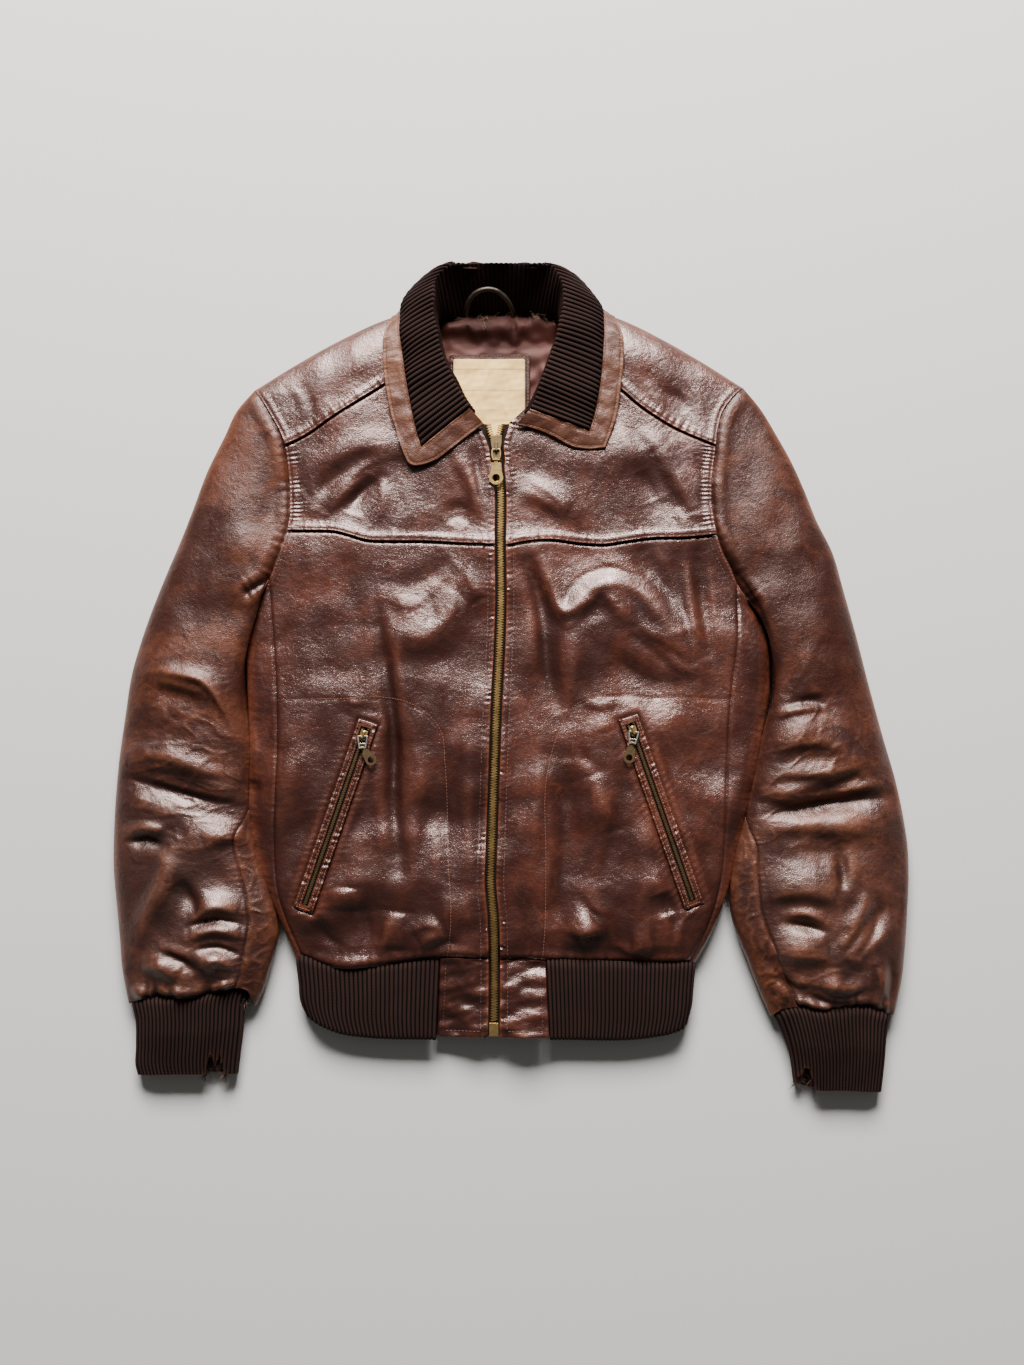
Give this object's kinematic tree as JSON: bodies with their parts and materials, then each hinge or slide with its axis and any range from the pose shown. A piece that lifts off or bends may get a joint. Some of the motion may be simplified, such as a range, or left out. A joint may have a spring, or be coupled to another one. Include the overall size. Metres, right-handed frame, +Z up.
{
  "type": "leather jacket",
  "caption": "Zip-front leather jacket with ribbed knit collar, cuffs and waistband and two slanted zip pockets, lying flat on its back.",
  "frame": {"origin": "on the floor under the middle of the whole jacket's outline", "axes": "+X towards the wearer's left sleeve, +Y towards the collar, +Z up from the floor, out of the front"},
  "size_m": [0.721, 0.756, 0.0473],
  "materials": {
    "jacket_leather": "glossy aniline leather, worn",
    "sleeve_leather": "glossy aniline leather, worn and tanned paler",
    "collar_leather": "dull worn leather",
    "rib_knit": "ribbed knit",
    "lining_satin": "satin",
    "label_leather": "smooth pale leather",
    "zip_tape": "woven tape",
    "brass": "antique brass",
    "nickel": "dull nickel plate"
  },
  "bodies": {
    "jacket": {"back": "jacket_leather", "side_right": "jacket_leather", "side_left": "jacket_leather", "shoulder_right": "jacket_leather", "shoulder_left": "jacket_leather", "yoke_right": "jacket_leather", "yoke_left": "jacket_leather", "front_right": "jacket_leather", "front_left": "jacket_leather", "label_patch": "jacket_leather", "hanger_loop": "jacket_leather", "pocket_welt_right": "jacket_leather", "pocket_welt_left": "jacket_leather", "sleeve_upper_right": "sleeve_leather", "sleeve_upper_left": "sleeve_leather", "sleeve_under_right": "sleeve_leather", "sleeve_under_left": "sleeve_leather", "collar_border": "collar_leather", "cuff_top_right": "rib_knit", "cuff_top_left": "rib_knit", "cuff_under_right": "rib_knit", "cuff_under_left": "rib_knit", "waist_rib": "rib_knit", "collar_rib": "rib_knit", "lining": "lining_satin", "label": "label_leather", "zip_tape": "zip_tape", "zip_chain": "brass", "zip_slider": "brass", "zip_box": "brass", "pocket_zip_right": "brass", "pocket_zip_left": "brass", "pocket_slider_right": "brass", "pocket_slider_left": "brass"},
    "main_link": {"zip_link": "brass"},
    "main_pull": {"zip_pull": "brass"},
    "pocket_link_right": {"pocket_link_right": "nickel"},
    "pocket_pull_right": {"pocket_pull_right": "brass"},
    "pocket_link_left": {"pocket_link_left": "nickel"},
    "pocket_pull_left": {"pocket_pull_left": "brass"}
  },
  "joints": [
    {"name": "main_link_swing", "type": "hinge", "parent": "jacket", "child": "main_link", "pos_m": [-0.01393, 0.2024, 0.03202], "axis": [-1, 0, 0], "range_deg": [0, 90]},
    {"name": "main_pull_swing", "type": "hinge", "parent": "main_link", "child": "main_pull", "pos_m": [-0.01393, 0.19245, 0.03202], "axis": [-1, 0, 0], "range_deg": [0, 90]},
    {"name": "pocket_link_right_swing", "type": "hinge", "parent": "jacket", "child": "pocket_link_right", "pos_m": [-0.13403, -0.06356, 0.03249], "axis": [-1, 0, 0], "range_deg": [0, 90]},
    {"name": "pocket_pull_right_swing", "type": "hinge", "parent": "pocket_link_right", "child": "pocket_pull_right", "pos_m": [-0.13403, -0.07406, 0.03249], "axis": [-1, 0, 0], "range_deg": [0, 90]},
    {"name": "pocket_link_left_swing", "type": "hinge", "parent": "jacket", "child": "pocket_link_left", "pos_m": [0.11061, -0.05954, 0.03289], "axis": [-0.9895, 0.1444, 0], "range_deg": [0, 90]},
    {"name": "pocket_pull_left_swing", "type": "hinge", "parent": "pocket_link_left", "child": "pocket_pull_left", "pos_m": [0.10909, -0.06993, 0.03289], "axis": [-0.9895, 0.1444, 0], "range_deg": [0, 90]}
  ]
}
